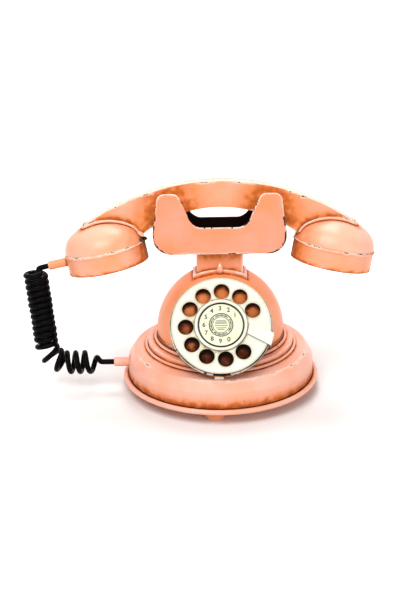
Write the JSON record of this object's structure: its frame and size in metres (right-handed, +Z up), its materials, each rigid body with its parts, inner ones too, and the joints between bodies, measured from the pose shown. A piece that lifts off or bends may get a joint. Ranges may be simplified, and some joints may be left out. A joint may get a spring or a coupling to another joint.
{
  "type": "rotary cradle telephone",
  "caption": "Cradle telephone in painted sheet metal with a stepped round base, domed body, tilted rotary dial, sprung cradle, arched handset and curly cord.",
  "frame": {"origin": "on the table under the middle of the round base", "axes": "+X to the right along the handset, +Y to the back, +Z up"},
  "size_m": [0.2698, 0.1528, 0.1693],
  "materials": {
    "pink_paint": "worn salmon pink paint with brown patina",
    "cream_paint": "worn cream paint",
    "steel": "plain steel",
    "brass": "plain brass",
    "coil_wrap": "varnished winding wrap",
    "card": "pale printed card",
    "rubber": "black rubber",
    "foot": "salmon pink rubber",
    "cord_jacket": "gloss black jacket",
    "moulding": "dark moulding",
    "capsule": "plain aluminium"
  },
  "bodies": {
    "base": {"feet": "foot", "base_screws": "steel", "base_plate": "pink_paint", "rim_bead": "pink_paint", "skirt": "pink_paint", "line_inlet": "rubber", "step_ring": "pink_paint", "collar": "pink_paint", "lower_wire_ring": "pink_paint", "upper_wire_ring": "pink_paint", "base_gland": "pink_paint", "dome": "pink_paint", "dial_back_plate": "pink_paint", "dial_drum": "steel", "dial_post": "steel", "number_card": "card", "dial_bezel": "cream_paint", "return_spring_can": "steel", "finger_stop": "cream_paint", "dial_tab": "cream_paint", "governor_cup": "brass", "neck_trim": "pink_paint", "neck_clasp": "pink_paint", "hook_bracket": "steel", "hook_contacts": "moulding", "hook_spring": "steel", "left_gong": "brass", "right_gong": "brass", "gong_posts": "steel", "ringer_frame": "steel", "ringer_coils": "coil_wrap", "clapper_pin": "steel", "induction_coil": "coil_wrap", "capacitor": "steel", "terminal_block": "moulding", "handset_cord": "cord_jacket"},
    "dial": {"finger_wheel": "cream_paint", "hub_ring": "cream_paint", "wheel_carrier": "steel", "main_gear": "brass"},
    "governor": {"governor_pinion": "brass", "governor_spindle": "steel"},
    "cradle": {"neck": "pink_paint", "hook_plunger": "steel", "cradle_front": "pink_paint", "cradle_rear": "pink_paint", "cradle_band": "pink_paint"},
    "handset": {"handset_bar": "pink_paint", "earpiece_shell": "pink_paint", "earpiece_cap": "pink_paint", "earpiece_capsule": "capsule", "earpiece_rib": "pink_paint", "mouthpiece_shell": "pink_paint", "mouthpiece_cap": "pink_paint", "mouthpiece_capsule": "capsule", "mouthpiece_rib": "pink_paint", "handset_gland": "pink_paint"},
    "clapper": {"clapper": "steel"}
  },
  "joints": [
    {"name": "dial_turn", "type": "hinge", "parent": "base", "child": "dial", "pos_m": [0, -0.0474, 0.0704], "axis": [0, 0.766, -0.6428], "range_deg": [0, 296], "stiffness_Nm_per_rad": 0.01},
    {"name": "governor_turn", "type": "hinge", "parent": "base", "child": "governor", "pos_m": [0, -0.03994, 0.07929], "axis": [0, 0.766, -0.6428], "range_deg": [-829, 0]},
    {"name": "cradle_lift", "type": "slide", "parent": "base", "child": "cradle", "axis": [0, 0, 1], "range_m": [0, 0.004], "stiffness_N_per_m": 150, "springref_m": 0.016, "deforming": ["hook_spring", "handset_cord"]},
    {"name": "handset_lift", "type": "slide", "parent": "cradle", "child": "handset", "axis": [0, 0, 1], "range_m": [0, 0.08], "deforming": ["handset_cord"]},
    {"name": "clapper_swing", "type": "hinge", "parent": "base", "child": "clapper", "pos_m": [0, 0.045, 0.021], "axis": [0, 0, 1], "range_deg": [-15, 15]}
  ],
  "couplings": [
    {"joint": "governor_turn", "follows": "dial_turn", "ratio": -2.8}
  ]
}
